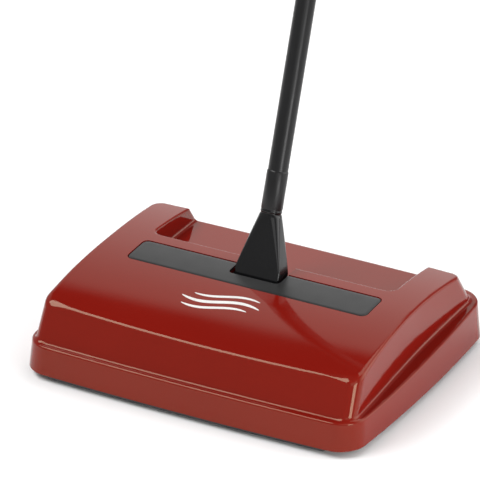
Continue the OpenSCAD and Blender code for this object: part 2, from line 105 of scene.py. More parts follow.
def along_handle(points):
    """Handle-frame millimetres (x, towards the rear, along the handle) to body-frame millimetres."""
    p = np.asarray(points, float)
    c, s = math.cos(TILT), math.sin(TILT)
    return np.stack([p[:, 0], PIVOT[1] + p[:, 2] * s + p[:, 1] * c,
                     PIVOT[2] + p[:, 2] * c - p[:, 1] * s], 1)


# ---------------------------------------------------------------- mesh helpers
def make(name, points, faces, body, material, smooth=35, standing_for=()):
    """A visible piece from body-frame points, riding a body and standing for CAD nodes."""
    mesh = bpy.data.meshes.new(name)
    mesh.from_pydata([tuple(p) for p in to_row(points)], [], [tuple(int(i) for i in f) for f in faces])
    mesh.validate()
    bm = bmesh.new()
    bm.from_mesh(mesh)
    bmesh.ops.recalc_face_normals(bm, faces=bm.faces)
    bm.to_mesh(mesh)
    bm.free()
    obj = bpy.data.objects.new(name, mesh)
    bpy.context.scene.collection.objects.link(obj)
    mesh.materials.append(material)
    if smooth:
        mesh.shade_smooth()
        mesh.set_sharp_from_angle(angle=math.radians(smooth))
    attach(obj, body)
    if standing_for:
        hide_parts(*standing_for)
    return obj


def ring_faces(rings, count, wrap=False):
    """Faces between rings of count points each, closed at the ends or wrapped round to the first."""
    faces = []
    last = rings if wrap else rings - 1
    for k in range(last):
        a, b = k * count, ((k + 1) % rings) * count
        faces += [(a + i, a + (i + 1) % count, b + (i + 1) % count, b + i) for i in range(count)]
    if not wrap:
        faces += [tuple(range(count)), tuple(range((rings - 1) * count, rings * count))]
    return faces


def lathe(profile, sides=64):
    """Points and faces of a closed profile of (radius, height) turned about the Z axis."""
    a = np.linspace(0, 2 * math.pi, sides, endpoint=False)
    points = np.concatenate([np.stack([r * np.cos(a), r * np.sin(a), np.full(sides, h)], 1)
                             for r, h in profile])
    return points, ring_faces(len(profile), sides, wrap=True)


def rounded_outline(hx, hy, r, steps=8):
    """A rounded rectangle about the origin, with half sizes hx and hy."""
    out = []
    for cx, cy, start in ((1, 1, 0), (-1, 1, 90), (-1, -1, 180), (1, -1, 270)):
        for i in range(steps + 1):
            t = math.radians(start + 90 * i / steps)
            out.append((cx * (hx - r) + r * math.cos(t), cy * (hy - r) + r * math.sin(t)))
    return np.array(out)


def cut(obj, points, faces, name):
    """Takes a closed cutter away from obj and leaves no modifier on it."""
    mesh = bpy.data.meshes.new(name)
    mesh.from_pydata([tuple(p) for p in to_row(points)], [], faces)
    bm = bmesh.new()
    bm.from_mesh(mesh)
    bmesh.ops.recalc_face_normals(bm, faces=bm.faces)
    bm.to_mesh(mesh)
    bm.free()
    tool = bpy.data.objects.new(name, mesh)
    bpy.context.scene.collection.objects.link(tool)
    cut_with(obj, tool)


# ---------------------------------------------------------------- materials
NOISE_ROUGH, NOISE_LOW, NOISE_HIGH = 0.55, 0.3, 0.7


def colour_of(value):
    return (*value, 1.0)


class Look:
    """A procedural material: colour and roughness mottled by noise, with a fine bump."""

    def __init__(self, name, base, rough, ior=1.5, metallic=0.0):
        self.material = bpy.data.materials.new(name)
        self.material.use_nodes = True
        self.tree = self.material.node_tree
        self.tree.nodes.clear()
        self.out = self.add("ShaderNodeOutputMaterial")
        self.shader = self.add("ShaderNodeBsdfPrincipled")
        self.link(self.shader, "BSDF", self.out, "Surface")
        self.coords = self.add("ShaderNodeTexCoord")
        self.base = base
        s = self.shader.inputs
        s["Base Color"].default_value = colour_of(base)
        s["Roughness"].default_value = rough
        s["IOR"].default_value = ior
        s["Metallic"].default_value = metallic

    def add(self, kind, **values):
        node = self.tree.nodes.new(kind)
        for key, value in values.items():
            setattr(node, key, value)
        return node

    def link(self, a, out, b, into):
        self.tree.links.new(a.outputs[out], b.inputs[into])

    def noise(self, scale, detail, stretch=(1, 1, 1)):
        mapping = self.add("ShaderNodeMapping")
        mapping.inputs["Scale"].default_value = stretch
        self.link(self.coords, "Object", mapping, "Vector")
        node = self.add("ShaderNodeTexNoise")
        node.inputs["Scale"].default_value = scale
        node.inputs["Detail"].default_value = detail
        node.inputs["Roughness"].default_value = NOISE_ROUGH
        self.link(mapping, "Vector", node, "Vector")
        return node

    def spread(self, source, low, high):
        """The middle of a noise's range, stretched to run from low to high."""
        ranged = self.add("ShaderNodeMapRange")
        ranged.inputs["From Min"].default_value = NOISE_LOW
        ranged.inputs["From Max"].default_value = NOISE_HIGH
        ranged.inputs["To Min"].default_value = low
        ranged.inputs["To Max"].default_value = high
        self.link(source, "Fac", ranged, "Value")
        return ranged

    def mottle(self, second, scale, amount=1.0, stretch=(1, 1, 1), detail=3.0):
        """Base colour drifts between the base and a second colour."""
        ranged = self.spread(self.noise(scale, detail, stretch), 0.0, amount)
        mix = self.add("ShaderNodeMix", data_type="RGBA")
        mix.inputs["A"].default_value = colour_of(self.base)
        mix.inputs["B"].default_value = colour_of(second)
        self.link(ranged, "Result", mix, "Factor")
        self.link(mix, "Result", self.shader, "Base Color")
        return self

    def rough_drift(self, low, high, scale, stretch=(1, 1, 1)):
        ranged = self.spread(self.noise(scale, 4.0, stretch), low, high)
        self.link(ranged, "Result", self.shader, "Roughness")
        return self

    def bump(self, scale, strength, distance, stretch=(1, 1, 1)):
        source = self.noise(scale, 2.0, stretch)
        node = self.add("ShaderNodeBump")
        node.inputs["Strength"].default_value = strength
        node.inputs["Distance"].default_value = distance
        self.link(source, "Fac", node, "Height")
        self.link(node, "Normal", self.shader, "Normal")
        return self


red_look = Look("red_shell", (0.196, 0.0072, 0.0038), 0.07, ior=1.5)
red_look.shader.inputs["Specular IOR Level"].default_value = 0.34
red_look.shader.inputs["Specular Tint"].default_value = (1.0, 0.95, 0.68, 1.0)
red = (red_look.mottle((0.184, 0.0064, 0.0034), 9, 0.8).rough_drift(0.05, 0.09, 14)
       .bump(190, 0.03, 0.0001).material)
grey = (Look("grey_inlay", (0.016, 0.016, 0.016), 0.33, ior=1.45)
        .mottle((0.012, 0.012, 0.012), 22, 0.8)
        .rough_drift(0.29, 0.37, 60)
        .bump(1400, 0.08, 0.00006).material)
black_gloss = (Look("black_gloss", (0.005, 0.005, 0.0055), 0.12, ior=1.42)
               .mottle((0.008, 0.008, 0.0085), 18, 0.8)
               .rough_drift(0.09, 0.16, 30)
               .bump(260, 0.03, 0.0001).material)
tube_paint = (Look("tube_paint", (0.007, 0.007, 0.0075), 0.30, ior=1.4)
              .mottle((0.010, 0.010, 0.0105), 30, 0.8, (1, 1, 0.15)).rough_drift(0.26, 0.36, 40)
              .bump(900, 0.06, 0.00005).material)
moulding = (Look("black_moulding", (0.014, 0.014, 0.015), 0.46)
            .mottle((0.020, 0.020, 0.021), 16, 0.8)
            .rough_drift(0.40, 0.55, 35)
            .bump(1100, 0.16, 0.0001).material)
pan_look = (Look("pan_plastic", (0.022, 0.022, 0.024), 0.5)
            .mottle((0.030, 0.030, 0.032), 14, 0.8)
            .rough_drift(0.42, 0.6, 30)
            .bump(900, 0.2, 0.0001).material)
grip_look = (Look("grip_plastic", (0.013, 0.013, 0.014), 0.55)
             .mottle((0.019, 0.019, 0.020), 20, 0.8)
             .rough_drift(0.5, 0.66, 50)
             .bump(800, 0.25, 0.00012).material)
steel = (Look("bright_steel", (0.60, 0.60, 0.59), 0.26, metallic=1.0)
         .mottle((0.52, 0.52, 0.51), 40, 0.9, (0.1, 1, 1)).rough_drift(0.2, 0.36, 120, (0.05, 1, 1))
         .bump(700, 0.08, 0.00004, stretch=(0.05, 1, 1)).material)
beech = (Look("beech", (0.50, 0.31, 0.15), 0.48)
         .mottle((0.34, 0.19, 0.085), 90, 0.9, (0.06, 1, 1), 6)
         .rough_drift(0.42, 0.58, 70, (0.1, 1, 1))
         .bump(260, 0.25, 0.0002, stretch=(0.06, 1, 1)).material)
bristle = (Look("bristle", (0.018, 0.018, 0.020), 0.38)
           .mottle((0.035, 0.034, 0.034), 120, 0.9)
           .rough_drift(0.3, 0.5, 200)
           .bump(500, 0.1, 0.00005).material)
rubber = (Look("drive_rubber", (0.030, 0.029, 0.028), 0.72)
          .mottle((0.042, 0.040, 0.038), 60, 0.9)
          .rough_drift(0.62, 0.82, 80)
          .bump(600, 0.3, 0.0001).material)
tyre_look = (Look("tyre_rubber", (0.016, 0.016, 0.016), 0.68)
             .mottle((0.028, 0.027, 0.026), 55, 0.9)
             .rough_drift(0.58, 0.8, 70)
             .bump(700, 0.25, 0.0001).material)
hub_look = (Look("hub_plastic", (0.055, 0.055, 0.058), 0.42)
            .mottle((0.066, 0.066, 0.068), 25, 0.8)
            .rough_drift(0.36, 0.5, 45)
            .bump(900, 0.15, 0.0001).material)
print_look = (Look("white_print", (0.78, 0.77, 0.75), 0.35)
              .mottle((0.70, 0.69, 0.67), 60, 0.7)
              .rough_drift(0.3, 0.42, 90)
              .bump(900, 0.06, 0.00003).material)

LOOKS = {"red_shell": red, "grey_inlay": grey, "black_gloss": black_gloss, "black_moulding": moulding,
         "tube_paint": tube_paint, "grip_plastic": grip_look, "bright_steel": steel, "beech": beech,
         "bristle": bristle, "drive_rubber": rubber, "tyre_rubber": tyre_look, "hub_plastic": hub_look,
         "pan_plastic": pan_look}
for part in frame["record"]["subparts"]:
    node = frame["nodes"][part["node"]]
    for k in range(max(1, len(node.material_slots))):
        if not node.material_slots:
            node.data.materials.append(None)
        node.material_slots[k].material = LOOKS[part["material_slot"]]

# ---------------------------------------------------------------- camera
FOCAL_PX, FRAME_PX = 4500.0, 480.0
CAMERA_AT = np.array([1487.9, -2746.8, 1673.9])
AZIMUTH, ELEVATION = math.radians(28.676), math.radians(26.716)
camera_data = bpy.data.cameras.new("camera")
camera_data.sensor_width = 36.0
camera_data.lens = FOCAL_PX / FRAME_PX * camera_data.sensor_width
camera_data.clip_end = 60.0
camera = bpy.data.objects.new("camera", camera_data)
bpy.context.scene.collection.objects.link(camera)
back = Vector((math.sin(AZIMUTH) * math.cos(ELEVATION), -math.cos(AZIMUTH) * math.cos(ELEVATION),
               math.sin(ELEVATION)))
right = Vector((math.cos(AZIMUTH), math.sin(AZIMUTH), 0))
up = back.cross(right)
camera.matrix_world = Matrix.Translation(Vector(to_row(CAMERA_AT))) @ Matrix(
    (right, up, back)).transposed().to_4x4()
bpy.context.scene.camera = camera


# ---------------------------------------------------------------- the red cover
def round_and(a, b, r):
    """Intersection of two solids whose shared edge is rounded to radius r."""
    corner = np.sqrt(np.maximum(a + r, 0) ** 2 + np.maximum(b + r, 0) ** 2)
    return np.minimum(-r, np.maximum(a, b)) + corner


def round_or(a, b, r):
    """Union of two solids whose shared corner is filled to radius r."""
    corner = np.sqrt(np.maximum(r - a, 0) ** 2 + np.maximum(r - b, 0) ** 2)
    return np.maximum(r, np.minimum(a, b)) - corner


def ease(v, low, high):
    t = np.clip((v - low) / (high - low), 0, 1)
    return t * t * (3 - 2 * t)


def crown_height(y):
    return CROWN_TOP - CROWN_R + np.sqrt(CROWN_R ** 2 - (y - CROWN_Y) ** 2)


def ledge_height(y):
    """The ledge is level along the front and climbs to the rear."""
    s = y - LEDGE_BEND_Y
    return LEDGE - LEDGE_DIP + LEDGE_CLIMB * (s + np.sqrt(s * s + LEDGE_BEND ** 2))


def outer_distance(x, y, z):
    """Signed distance to the cover's outside, with no bottom."""
    top = ledge_height(y)
    share = (z - SKIRT_BOTTOM) / (top - SKIRT_BOTTOM)
    wx = np.abs(x) / (1 - BOW_SIDE / HALF_W * (y / HALF_D) ** 2)
    wy = np.abs(y) / (1 - BOW_FRONT / HALF_D * (x / HALF_W) ** 2)
    qx = wx - (HALF_W - SIDE_LEAN * share - SKIRT_CORNER)
    qy = wy - (HALF_D - SKIRT_LEAN * share - SKIRT_CORNER)
    skirt = (np.sqrt(np.maximum(qx, 0) ** 2 + np.maximum(qy, 0) ** 2)
             + np.minimum(np.maximum(qx, qy), 0) - SKIRT_CORNER)
    skirt = round_and(skirt * SKIRT_SHARE, z - top, SKIRT_EDGE)
    h = np.maximum(z - LEDGE, WALL_ROOT)
    across = (x / DOME_HALF) ** 2
    bow = (FRONT_BOW + FRONT_BOW_RISE * h) * across
    front = (DOME_FRONT + SLOPE_FRONT * h + bow - y) / math.hypot(1, SLOPE_FRONT)
    rear = (y - DOME_REAR + SLOPE_REAR * h + REAR_BOW * across) / math.hypot(1, SLOPE_REAR)
    flare = (FRONT_FLARE * (np.maximum(WAIST_Y - y, 0) / FRONT_FLARE_RUN) ** FLARE_POWER
             + REAR_FLARE * (np.maximum(y - WAIST_Y, 0) / REAR_FLARE_RUN) ** FLARE_POWER)
    side = np.abs(x) - DOME_HALF - flare + SLOPE_SIDE * h
    walls = np.maximum(round_and(front, side, FRONT_CORNER), round_and(rear, side, REAR_CORNER))
    crown = np.sqrt((y - CROWN_Y) ** 2 + (z - CROWN_TOP + CROWN_R) ** 2) - CROWN_R
    # The crown's edge is softer at the ends, most of all at the front corners.
    edge = CROWN_EDGE + ease(np.abs(x), 108, 128) * (0.7 + 1.9 * ease(-y, 40, 90))
    dome = round_and(walls, crown, edge)
    outside = round_or(skirt, dome, VALLEY * (1 + ease(np.abs(x), 126, 134)))
    recess = round_and(np.abs(x) - RECESS_HALF, RECESS_FRONT - y, RECESS_CORNER)
    recess = round_and(recess, RECESS_FLOOR - z, RECESS_FILLET)
    return round_and(outside, -recess, RECESS_EDGE)


def inner_distance(x, y, z):
    """Signed distance to the hollow inside the cover: bosses and the panel's bed stand into it."""
    boss = np.maximum(np.hypot(np.abs(x) - BOSS_X, np.abs(y) - BOSS_Y) - BOSS_R, BOSS_FOOT - z)
    bed = np.maximum(np.maximum(np.abs(x) - PANEL_HALF - BED_MARGIN,
                                np.abs(y - PANEL_MID) - PANEL_HALF_D - BED_MARGIN),
                     crown_height(y) - BED_DEPTH - z)
    return round_and(outer_distance(x, y, z) + WALL, -np.minimum(boss, bed), HOLLOW_FILLET)


def cover_distance(x, y, z):
    return np.maximum(outer_distance(x, y, z), -inner_distance(x, y, z))


def surface_nets(distance, low, high, step):
    """Quads on the zero surface of distance; each vertex is moved on to the surface."""
    low, high, step = (np.array(v, float) for v in (low, high, step))
    shape = np.ceil((high - low) / step).astype(int) + 1
    axes = [low[k] + step[k] * np.arange(shape[k]) for k in range(3)]
    values = distance(*np.meshgrid(*axes, indexing="ij"))
    inside = values < 0
    cells = tuple(shape - 1)
    total, count = np.zeros(cells + (3,)), np.zeros(cells)
    edges = []
    for axis in range(3):
        a, b = [slice(None)] * 3, [slice(None)] * 3
        a[axis], b[axis] = slice(0, -1), slice(1, None)
        start = np.argwhere(inside[tuple(a)] != inside[tuple(b)])
        ahead = start.copy()
        ahead[:, axis] += 1
        d0, d1 = values[tuple(start.T)], values[tuple(ahead.T)]
        crossing = start.astype(float)
        crossing[:, axis] += d0 / (d0 - d1)
        u, v = (axis + 1) % 3, (axis + 2) % 3
        around = []
        for du, dv in ((0, 0), (-1, 0), (-1, -1), (0, -1)):
            cell = start.copy()
            cell[:, u] += du
            cell[:, v] += dv
            fits = (cell >= 0).all(1) & (cell < cells).all(1)
            np.add.at(total, tuple(cell[fits].T), crossing[fits])
            np.add.at(count, tuple(cell[fits].T), 1)
            around.append(cell)
        whole = np.all([(c >= 0).all(1) & (c < cells).all(1) for c in around], axis=0)
        edges.append(([c[whole] for c in around], (d0 < 0)[whole]))

    used = count > 0
    index = np.full(cells, -1)
    index[used] = np.arange(used.sum())
    points = low + total[used] / count[used][:, None] * step
    quads = []
    for around, outward in edges:
        quad = np.stack([index[tuple(c.T)] for c in around], 1)
        quads.append(np.where(outward[:, None], quad, quad[:, ::-1]))
    for _ in range(5):
        d = distance(*points.T)
        g = gradient(distance, points)
        move = d[:, None] * g / np.maximum((g ** 2).sum(1), 0.05)[:, None]
        points -= np.clip(move, -0.5, 0.5)
    return points, np.concatenate(quads)


def gradient(distance, points, e=0.03):
    out = np.empty_like(points)
    for k in range(3):
        d = np.zeros(3)
        d[k] = e
        out[:, k] = (distance(*(points + d).T) - distance(*(points - d).T)) / (2 * e)
    return out


def open_bottomed(name, distance, low, high, step, floor):
    """A closed object from the surface of distance, trimmed flat at the height of its floor."""
    points, quads = surface_nets(distance, low, high, step)
    mesh = bpy.data.meshes.new(name)
    mesh.from_pydata(to_row(points).tolist(), [], quads.tolist())
    bm = bmesh.new()
    bm.from_mesh(mesh)
    bmesh.ops.bisect_plane(bm, geom=bm.verts[:] + bm.edges[:] + bm.faces[:], dist=1e-7,
                           plane_co=(0, 0, floor / 1000), plane_no=(0, 0, 1), clear_inner=True)
    rim = [e for e in bm.edges if e.is_boundary]
    bmesh.ops.holes_fill(bm, edges=rim, sides=0)
    bmesh.ops.recalc_face_normals(bm, faces=bm.faces)
    bm.to_mesh(mesh)
    bm.free()
    obj = bpy.data.objects.new(name, mesh)
    bpy.context.scene.collection.objects.link(obj)
    return obj


def cut_with(obj, tool):
    """Takes tool away from obj by an exact Boolean and deletes it."""
    modifier = obj.modifiers.new("cut", "BOOLEAN")
    modifier.operation, modifier.solver, modifier.object = "DIFFERENCE", "EXACT", tool
    bpy.context.view_layer.update()
    result = bpy.data.meshes.new_from_object(obj.evaluated_get(bpy.context.evaluated_depsgraph_get()))
    obj.modifiers.clear()
    obj.data = result
    bpy.data.objects.remove(tool)


LOW = (-HALF_W - 4, -HALF_D - 4, SKIRT_BOTTOM - 5)
HIGH = (HALF_W + 4, HALF_D + 4, CROWN_TOP + 3)
cover = open_bottomed("top_cover", outer_distance, LOW, HIGH, OUTSIDE_GRID, SKIRT_BOTTOM)
hollow = open_bottomed("hollow", inner_distance, LOW, HIGH, HOLLOW_GRID, SKIRT_BOTTOM - 2)
cut_with(cover, hollow)
cover.data.materials.clear()
cover.data.materials.append(red)
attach(cover, "body")
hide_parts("cover")


def prism(outline, low, high):
    """A closed prism over a plan outline; low and high are heights, or functions of y."""
    def level(v):
        return np.array([v(y) if callable(v) else v for _, y in outline])
    n = len(outline)
    pts = np.concatenate([np.column_stack([outline, level(low)]),
                          np.column_stack([outline, level(high)])])
    return pts, ring_faces(2, n)


seat = rounded_outline(PANEL_HALF + SEAT_GAP, PANEL_HALF_D + SEAT_GAP, SEAT_CORNER) + [0, PANEL_MID]
seat_rise = (crown_height(PANEL_REAR) - crown_height(PANEL_FRONT)) / (PANEL_REAR - PANEL_FRONT)


def seat_floor(y):
    """The seat's floor is flat and slopes as the crown does between the panel's edges."""
    return crown_height(PANEL_FRONT) - SEAT_DEPTH + seat_rise * (y - PANEL_FRONT)


cut(cover, *prism(seat, seat_floor, ABOVE_ALL), "panel_seat_tool")
slot_rear = RECESS_FRONT + SLOT_RUN
slot_middle, slot_half_d = (slot_rear + SLOT_FRONT) / 2, (slot_rear - SLOT_FRONT) / 2
slot_outline = rounded_outline(SLOT_HALF, slot_half_d, SLOT_CORNER) + [0, slot_middle]
cut(cover, *prism(slot_outline, RECESS_FLOOR + 1, ABOVE_ALL), "slot_tool")


def set_smooth_normals(obj, distance, limit=0.80):
    """Shades obj by the exact surface direction, and keeps crisp edges where a cut has left them."""
    mesh = obj.data
    co = np.array([v.co for v in mesh.vertices]) * 1000 - [0, SHIFT, 0]
    g = gradient(distance, co)
    g /= np.maximum(np.linalg.norm(g, axis=1), 1e-6)[:, None]
    mesh.shade_smooth()
    faces = np.empty(len(mesh.polygons) * 3)
    mesh.polygons.foreach_get("normal", faces)
    faces = faces.reshape(-1, 3)
    starts = np.empty(len(mesh.polygons), int)
    totals = np.empty(len(mesh.polygons), int)
    mesh.polygons.foreach_get("loop_start", starts)
    mesh.polygons.foreach_get("loop_total", totals)
    vertex = np.empty(len(mesh.loops), int)
    mesh.loops.foreach_get("vertex_index", vertex)
    of_face = np.repeat(np.arange(len(starts)), totals)
    exact, flat = g[vertex], faces[of_face]
    keep = ((exact * flat).sum(1) > limit)[:, None]
    mesh.normals_split_custom_set(np.where(keep, exact, flat).tolist())


set_smooth_normals(cover, cover_distance)

# ---------------------------------------------------------------- inlaid panel
PANEL_CORNER, PANEL_STEP, NOTCH_HALF_D = 5.0, 3.0, 25.0
# Each ring of the panel: how far it is drawn in, and how far it lies below the crown.
PANEL_RINGS = ((0.35, 2.45), (0.0, 2.3), (0.0, 0.75), (0.12, 0.42), (0.45, 0.3),
               (3, 0.3), (6, 0.3), (9, 0.3), (12, 0.3), (15, 0.3))


def panel_outline():
    """The panel's plan outline, with a point about every PANEL_STEP."""
    corners = rounded_outline(PANEL_HALF, PANEL_HALF_D, PANEL_CORNER, 6) + [0, PANEL_MID]
    dense = []
    for p, q in zip(corners, np.roll(corners, -1, axis=0)):
        n = max(1, int(np.hypot(*(q - p)) / PANEL_STEP))
        dense += [p + (q - p) * i / n for i in range(n)]
    return np.array(dense)


outline = panel_outline()
panel_centre, panel_half = np.array([0, PANEL_MID]), np.array([PANEL_HALF, PANEL_HALF_D])
rings = []
for inset, drop in PANEL_RINGS:
    plan = panel_centre + (outline - panel_centre) * (1 - inset / panel_half)
    rings.append(np.column_stack([plan, crown_height(plan[:, 1]) - drop]))
panel = make("grey_panel", np.concatenate(rings), ring_faces(len(rings), len(outline)), "body",
             grey, smooth=30, standing_for=["handle_panel"])
notch = rounded_outline(SLOT_HALF, NOTCH_HALF_D, SLOT_CORNER) + [0, SLOT_FRONT + NOTCH_HALF_D]
cut(panel, *prism(notch, 50.0, ABOVE_ALL), "notch_tool")
panel.data.shade_smooth()
panel.data.set_sharp_from_angle(angle=math.radians(30))

# ---------------------------------------------------------------- the print on the top
PRINT_X, PRINT_Y, PRINT_PITCH = -6.0, -47.0, 8.0
WAVE_HEIGHT, WAVE_LENGTH = 4.5, 76
PAINT_THICK, PAINT_SUNK, STRIPE_STEPS = 0.13, 0.1, 49


def print_stripe(name, offset, start, end, half):
    """A thin raised stripe of paint that waves along the crown and thins out to its ends."""
    rings = []
    for t in np.linspace(0, 1, STRIPE_STEPS):
        x = start + (end - start) * t
        y = PRINT_Y + offset + WAVE_HEIGHT * math.sin(2 * math.pi * x / WAVE_LENGTH)
        w = max(half * math.sin(math.pi * t) ** 0.4, 0.12)
        lift = PAINT_THICK * min(1.0, 8 * t + 0.2, 8 * (1 - t) + 0.2)
        for dy, dz in ((-w, -PAINT_SUNK), (w, -PAINT_SUNK), (w - 0.05, lift), (-w + 0.05, lift)):
            rings.append([PRINT_X + x, y + dy, float(crown_height(y + dy)) + dz])
    make(name, np.array(rings), ring_faces(STRIPE_STEPS, 4), "body", print_look, smooth=30)


print_stripe("print_stripe_rear", PRINT_PITCH, -25, 29, 1.5)
print_stripe("print_stripe_middle", 0.0, -33, 33, 1.9)
print_stripe("print_stripe_front", -PRINT_PITCH, -29, 25, 1.5)

# ---------------------------------------------------------------- handle socket and tubes
SOCKET_HALF, SOCKET_R, FLARE, NECK = 19.5, 8.5, 57.0, 91.0
TUBE_R, TUBE_WALL, JOINT_1, JOINT_2 = 8.0, 0.7, 391.0, 691.0
GRIP_START, GRIP_END, GRIP_R, GRIP_BORE = 971.0, 1077.0, 12.0, 8.06
GRIP_RIBS, RIB_PITCH, SPIGOT_LENGTH, SPIGOT_GAP = 9, 5.4, 35, 0.05
FOOT_EDGE, FOOT_TAPER, SHOULDER = 1.6, 0.8, 12.0
PIN_BORE_R, WELL_R, BUTTON_HOLE_R, HANG_R = 2.58, 8.02, 2.9, 4.5
BUTTON_S, HANG_S = NECK - 14, GRIP_END - 6
ROD_SIDES, RING_POINTS = 40, 72


def rod(radius, start, end):
    """The end rings of a round cutter along the third axis."""
    turn = np.linspace(0, 2 * math.pi, ROD_SIDES, endpoint=False)
    return np.concatenate([np.column_stack([radius * np.cos(turn), radius * np.sin(turn),
                                            np.full(ROD_SIDES, s)]) for s in (start, end)])


def drill(obj, points, name):
    """Cuts a rod, given in the handle's frame, out of obj."""
    cut(obj, along_handle(points), ring_faces(2, ROD_SIDES), name)


def foot_ring(hx, hy, r, s):
    """A rounded rectangle as RING_POINTS points at the height s, a quarter of them round each corner."""
    steps = RING_POINTS // 4 - 1
    return np.column_stack([rounded_outline(hx, hy, r, steps), np.full(4 * (steps + 1), s)])


rings = []
for deg in range(0, 91, 10):
    a = math.radians(deg - 90)
    hy = max(SOCKET_R * math.cos(a), 0.6)
    rings.append(foot_ring(SOCKET_HALF - FOOT_TAPER * (1 - deg / 90), hy, min(1.0, hy * 0.9),
                           SOCKET_R * math.sin(a)))
for s in np.concatenate([np.linspace(3, SHOULDER, 4), np.linspace(SHOULDER + 2, FLARE - 1, 22)]):
    t = max(0.0, (s - SHOULDER) / (FLARE - SHOULDER))
    hx = SOCKET_HALF + (SOCKET_R - SOCKET_HALF) * t
    rings.append(foot_ring(hx, SOCKET_R, FOOT_EDGE + (SOCKET_R - FOOT_EDGE) * t ** 1.3, s))
# The collar, the groove above it and the neck: each ring's height along the handle and radius.
for s, r in ((FLARE - 0.4, 8.2), (FLARE + 0.4, 8.2), (FLARE + 0.9, 8.62), (FLARE + 2.2, 8.62),
             (FLARE + 2.7, 8.38), (FLARE + 3.3, 8.38), (FLARE + 3.8, 8.6),
             (NECK - 1.2, 8.5), (NECK - 0.3, 8.25), (NECK, 8.05)):
    rings.append(foot_ring(r, r, r * 0.999, s))
socket_points = along_handle(np.concatenate(rings))
socket = make("handle_socket_shell", socket_points, ring_faces(len(rings), len(rings[0])), "handle",
              black_gloss, smooth=42, standing_for=["handle_socket"])
drill(socket, rod(PIN_BORE_R, -30, 30)[:, [2, 0, 1]], "pin_tool")
drill(socket, rod(WELL_R, FLARE + 5, NECK + 5), "well_tool")
button_hole = rod(BUTTON_HOLE_R, 0, 14)[:, [0, 2, 1]] + [0, 0, BUTTON_S]
drill(socket, button_hole, "button_tool")

# The button's leaf spring: a strip folded at the bottom, whose free arm the button pushes in.
SPRING_BACK, SPRING_HALF, SPRING_T = 1.0 - (TUBE_R - TUBE_WALL), 2.2, 0.25
SPRING_SPANS = 7           # points along each span of the curve through the arm
arm = np.array([(0.0, 9.0), (0.0, -1.0), (0.0, -11.0), (0.7, -13.4), (2.3, -14.4), (3.9, -13.6),
                (4.6, -11.5), (6.5, -4.0), (8.1, 1.2), (8.4, 3.4)]) + [SPRING_BACK, BUTTON_S]
bend = []
for k in range(1, len(arm) - 2):
    for t in np.linspace(0, 1, SPRING_SPANS, endpoint=False):
        p0, p1, p2, p3 = arm[k - 1:k + 3]
        bend.append(0.5 * (2 * p1 + (p2 - p0) * t + (2 * p0 - 5 * p1 + 4 * p2 - p3) * t ** 2
                           + (3 * p1 - p0 - 3 * p2 + p3) * t ** 3))
bend = np.array([arm[0]] + bend + [arm[-2], arm[-1]])
along = np.gradient(bend, axis=0)
across_arm = np.column_stack([-along[:, 1], along[:, 0]])
across_arm = across_arm / np.linalg.norm(along, axis=1)[:, None] * SPRING_T
leaf = [[side * SPRING_HALF, *(point + face * normal)] for point, normal in zip(bend, across_arm)
        for side, face in ((-1, -1), (1, -1), (1, 1), (-1, 1))]
spring = make("button_leaf_spring", along_handle(leaf), ring_faces(len(bend), 4), "handle",
              steel, smooth=40, standing_for=["button_spring"])
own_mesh(spring)
socket.data.materials.append(tube_paint)
neck_base = along_handle([[0, 0, FLARE + 3]])[0]
handle_up = np.array([0, math.sin(TILT), math.cos(TILT)])
for face in socket.data.polygons:
    height = (np.array(face.center) * 1000 - [0, SHIFT, 0] - neck_base) @ handle_up
    face.material_index = int(height > 0)
socket.data.shade_smooth()
socket.data.set_sharp_from_angle(angle=math.radians(42))


def tube(name, start, end, node):
    """A tube along the handle; all but the lowest have a spigot that sits in the one below."""
    inner = TUBE_R - TUBE_WALL
    profile = [(inner, start + 0.3), (inner + 0.2, start), (TUBE_R - 0.35, start), (TUBE_R, start + 0.5)]
    profile += [(TUBE_R, s) for s in np.linspace(start + 4, end - 4, 12)]
    profile += [(TUBE_R, end - 0.5), (TUBE_R - 0.35, end), (inner + 0.2, end), (inner, end - 0.3)]
    if node != "lower_tube":
        spigot, foot_s = inner - SPIGOT_GAP, start - SPIGOT_LENGTH
        profile = ([(spigot - TUBE_WALL, start + 4), (spigot - TUBE_WALL, foot_s),
                    (spigot - 0.3, foot_s - 1), (spigot, foot_s), (spigot, start - 0.02)] + profile[2:])
    pts, faces = lathe(profile, 64)
    return make(name, along_handle(pts), faces, "handle", tube_paint,
                standing_for=[node])


lower = tube("handle_tube_lower", FLARE + 4.5, JOINT_1, "lower_tube")
drill(lower, button_hole, "tube_hole_tool")
lower.data.shade_smooth()
lower.data.set_sharp_from_angle(angle=math.radians(35))
tube("handle_tube_middle", JOINT_1 + 0.1, JOINT_2, "middle_tube")
tube("handle_tube_upper", JOINT_2 + 0.1, GRIP_START + 72, "upper_tube")

profile = [(GRIP_BORE, GRIP_START), (9.3, GRIP_START), (9.7, GRIP_START + 0.5), (10.6, GRIP_START + 8),
           (11, GRIP_START + 14)]
for k in range(GRIP_RIBS):
    s = GRIP_START + 20 + k * RIB_PITCH
    profile += [(11.0, s), (11.55, s + 0.8), (11.75, s + 1.7), (11.55, s + 2.6), (11.0, s + 3.4)]
profile += [(11, GRIP_START + 72), (11.4, GRIP_START + 80), (11.9, GRIP_START + 88),
            (12, GRIP_START + 96)]
for deg in range(0, 86, 8):
    t = math.radians(deg)
    profile.append((GRIP_R * math.cos(t), GRIP_END + GRIP_R * math.sin(t)))
profile += [(0.4, GRIP_END + GRIP_R), (0.4, GRIP_START + 73.5), (GRIP_BORE, GRIP_START + 73)]
pts, faces = lathe(profile, 72)
grip = make("handle_grip", along_handle(pts), faces, "handle", grip_look,
            standing_for=["grip"])
drill(grip, rod(HANG_R, -20, 20)[:, [0, 2, 1]] + [0, 0, HANG_S], "hang_tool")
grip.data.shade_smooth()
grip.data.set_sharp_from_angle(angle=math.radians(35))

